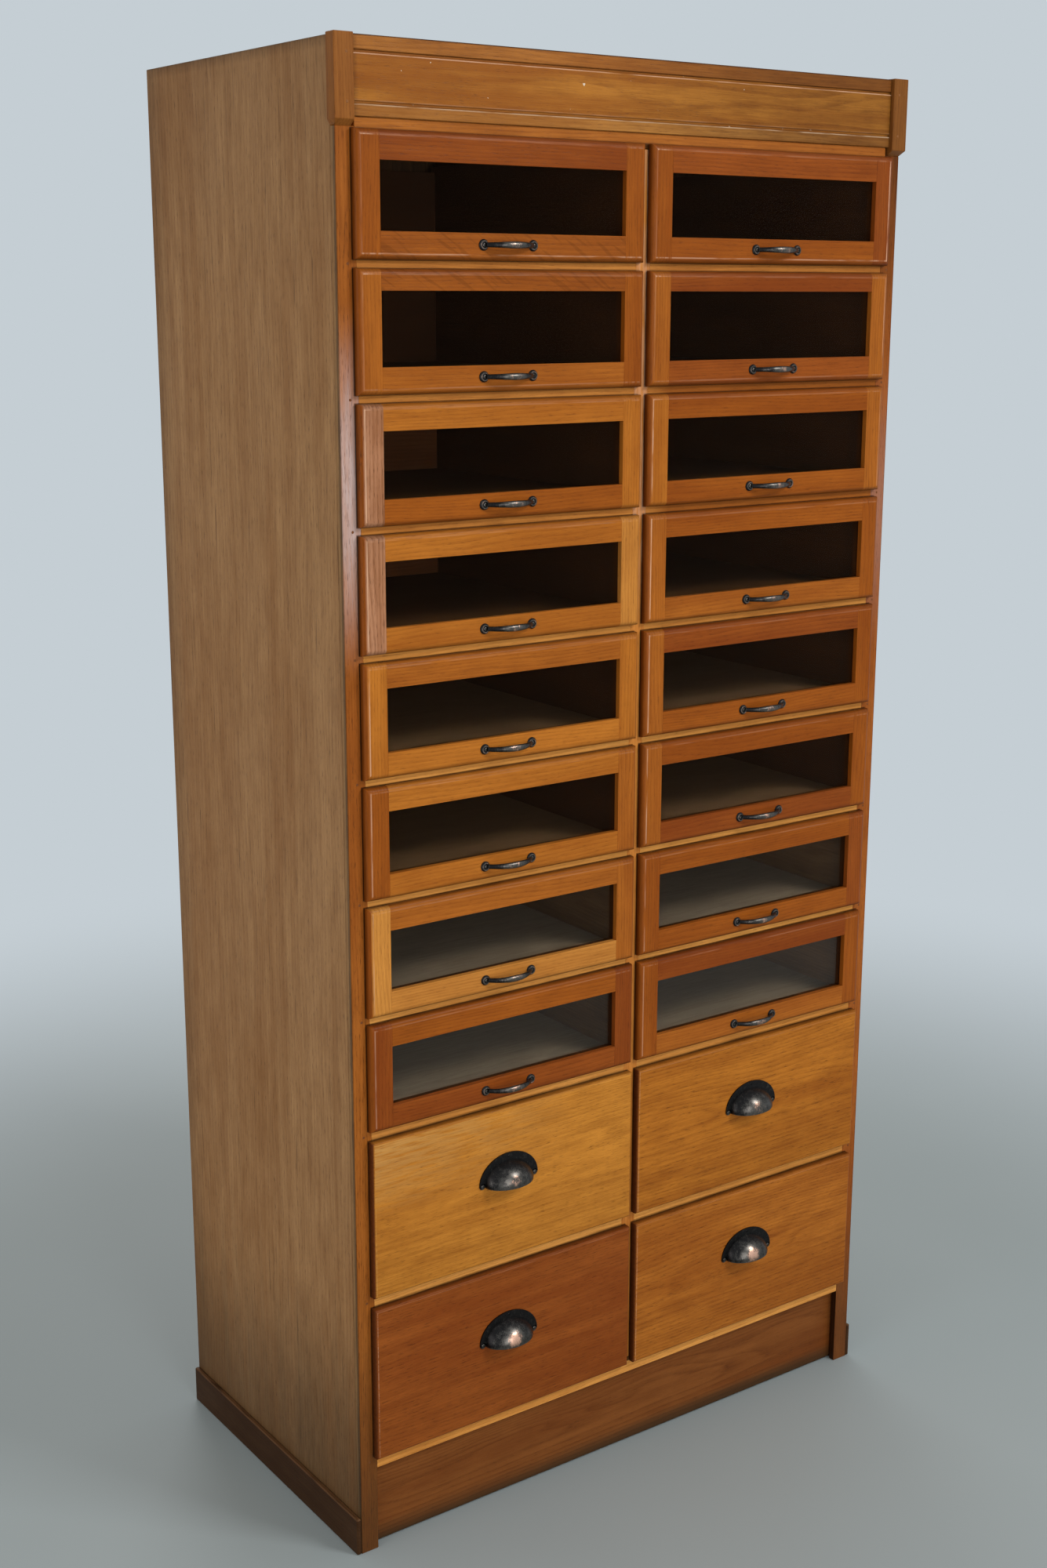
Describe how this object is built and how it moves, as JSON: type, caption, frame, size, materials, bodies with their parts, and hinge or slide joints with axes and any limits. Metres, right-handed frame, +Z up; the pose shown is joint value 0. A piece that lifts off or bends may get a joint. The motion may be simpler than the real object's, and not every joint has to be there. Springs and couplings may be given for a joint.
{
  "type": "haberdashery cabinet",
  "caption": "Tall free-standing oak cabinet of small glass-fronted drawers with bow pulls over deeper plain drawers with cup pulls.",
  "frame": {"origin": "on the floor, under the middle of the whole object with its pulls", "axes": "+Z up, -Y is the front, where the drawers slide out, +X to the right when facing the front"},
  "size_m": [0.939, 0.535, 1.992],
  "materials": {
    "side_oak": "satin varnish, duller and browner",
    "stile_oak": "worn varnish",
    "rail_oak": "golden varnish",
    "drawer_oak": "glossy orange varnish",
    "inner_wood": "bare wood",
    "plinth_wood": "dark stained varnish",
    "skirting_wood": "dark stained, scuffed",
    "pull_bronze": "antique bronze with copper-worn edges",
    "nail_steel": "dulled heads"
  },
  "bodies": {
    "carcass": {"side_panel_left": "side_oak", "side_panel_right": "side_oak", "stile_left": "stile_oak", "stile_right": "stile_oak", "capital_left": "stile_oak", "capital_right": "stile_oak", "frieze_bottom_strip": "stile_oak", "frieze_panel": "rail_oak", "frieze_top_strip": "stile_oak", "front_rails": "rail_oak", "muntin": "rail_oak", "centre_partition": "inner_wood", "drawer_runners": "inner_wood", "top_board": "side_oak", "bottom_board": "inner_wood", "back_boards": "inner_wood", "plinth_board": "plinth_wood", "skirting_left": "skirting_wood", "skirting_right": "skirting_wood", "face_nails": "nail_steel"},
    "drawer_1_left_unit": {"drawer_1_left": "drawer_oak", "bow_pull_1_left": "pull_bronze"},
    "drawer_1_right_unit": {"drawer_1_right": "drawer_oak", "bow_pull_1_right": "pull_bronze"},
    "drawer_2_left_unit": {"drawer_2_left": "drawer_oak", "bow_pull_2_left": "pull_bronze"},
    "drawer_2_right_unit": {"drawer_2_right": "drawer_oak", "bow_pull_2_right": "pull_bronze"},
    "drawer_3_left_unit": {"drawer_3_left": "drawer_oak", "bow_pull_3_left": "pull_bronze"},
    "drawer_3_right_unit": {"drawer_3_right": "drawer_oak", "bow_pull_3_right": "pull_bronze"},
    "drawer_4_left_unit": {"drawer_4_left": "drawer_oak", "bow_pull_4_left": "pull_bronze"},
    "drawer_4_right_unit": {"drawer_4_right": "drawer_oak", "bow_pull_4_right": "pull_bronze"},
    "drawer_5_left_unit": {"drawer_5_left": "drawer_oak", "bow_pull_5_left": "pull_bronze"},
    "drawer_5_right_unit": {"drawer_5_right": "drawer_oak", "bow_pull_5_right": "pull_bronze"},
    "drawer_6_left_unit": {"drawer_6_left": "drawer_oak", "bow_pull_6_left": "pull_bronze"},
    "drawer_6_right_unit": {"drawer_6_right": "drawer_oak", "bow_pull_6_right": "pull_bronze"},
    "drawer_7_left_unit": {"drawer_7_left": "drawer_oak", "bow_pull_7_left": "pull_bronze"},
    "drawer_7_right_unit": {"drawer_7_right": "drawer_oak", "bow_pull_7_right": "pull_bronze"},
    "drawer_8_left_unit": {"drawer_8_left": "drawer_oak", "bow_pull_8_left": "pull_bronze"},
    "drawer_8_right_unit": {"drawer_8_right": "drawer_oak", "bow_pull_8_right": "pull_bronze"},
    "drawer_9_left_unit": {"drawer_9_left": "drawer_oak", "cup_pull_9_left": "pull_bronze"},
    "drawer_9_right_unit": {"drawer_9_right": "drawer_oak", "cup_pull_9_right": "pull_bronze"},
    "drawer_10_left_unit": {"drawer_10_left": "drawer_oak", "cup_pull_10_left": "pull_bronze"},
    "drawer_10_right_unit": {"drawer_10_right": "drawer_oak", "cup_pull_10_right": "pull_bronze"}
  },
  "joints": [
    {"name": "drawer_1_left_slide", "type": "slide", "parent": "carcass", "child": "drawer_1_left_unit", "axis": [0, -1, 0], "range_m": [0, 0.35]},
    {"name": "drawer_1_right_slide", "type": "slide", "parent": "carcass", "child": "drawer_1_right_unit", "axis": [0, -1, 0], "range_m": [0, 0.35]},
    {"name": "drawer_2_left_slide", "type": "slide", "parent": "carcass", "child": "drawer_2_left_unit", "axis": [0, -1, 0], "range_m": [0, 0.35]},
    {"name": "drawer_2_right_slide", "type": "slide", "parent": "carcass", "child": "drawer_2_right_unit", "axis": [0, -1, 0], "range_m": [0, 0.35]},
    {"name": "drawer_3_left_slide", "type": "slide", "parent": "carcass", "child": "drawer_3_left_unit", "axis": [0, -1, 0], "range_m": [0, 0.35]},
    {"name": "drawer_3_right_slide", "type": "slide", "parent": "carcass", "child": "drawer_3_right_unit", "axis": [0, -1, 0], "range_m": [0, 0.35]},
    {"name": "drawer_4_left_slide", "type": "slide", "parent": "carcass", "child": "drawer_4_left_unit", "axis": [0, -1, 0], "range_m": [0, 0.35]},
    {"name": "drawer_4_right_slide", "type": "slide", "parent": "carcass", "child": "drawer_4_right_unit", "axis": [0, -1, 0], "range_m": [0, 0.35]},
    {"name": "drawer_5_left_slide", "type": "slide", "parent": "carcass", "child": "drawer_5_left_unit", "axis": [0, -1, 0], "range_m": [0, 0.35]},
    {"name": "drawer_5_right_slide", "type": "slide", "parent": "carcass", "child": "drawer_5_right_unit", "axis": [0, -1, 0], "range_m": [0, 0.35]},
    {"name": "drawer_6_left_slide", "type": "slide", "parent": "carcass", "child": "drawer_6_left_unit", "axis": [0, -1, 0], "range_m": [0, 0.35]},
    {"name": "drawer_6_right_slide", "type": "slide", "parent": "carcass", "child": "drawer_6_right_unit", "axis": [0, -1, 0], "range_m": [0, 0.35]},
    {"name": "drawer_7_left_slide", "type": "slide", "parent": "carcass", "child": "drawer_7_left_unit", "axis": [0, -1, 0], "range_m": [0, 0.35]},
    {"name": "drawer_7_right_slide", "type": "slide", "parent": "carcass", "child": "drawer_7_right_unit", "axis": [0, -1, 0], "range_m": [0, 0.35]},
    {"name": "drawer_8_left_slide", "type": "slide", "parent": "carcass", "child": "drawer_8_left_unit", "axis": [0, -1, 0], "range_m": [0, 0.35]},
    {"name": "drawer_8_right_slide", "type": "slide", "parent": "carcass", "child": "drawer_8_right_unit", "axis": [0, -1, 0], "range_m": [0, 0.35]},
    {"name": "drawer_9_left_slide", "type": "slide", "parent": "carcass", "child": "drawer_9_left_unit", "axis": [0, -1, 0], "range_m": [0, 0.35]},
    {"name": "drawer_9_right_slide", "type": "slide", "parent": "carcass", "child": "drawer_9_right_unit", "axis": [0, -1, 0], "range_m": [0, 0.35]},
    {"name": "drawer_10_left_slide", "type": "slide", "parent": "carcass", "child": "drawer_10_left_unit", "axis": [0, -1, 0], "range_m": [0, 0.35]},
    {"name": "drawer_10_right_slide", "type": "slide", "parent": "carcass", "child": "drawer_10_right_unit", "axis": [0, -1, 0], "range_m": [0, 0.35]}
  ]
}
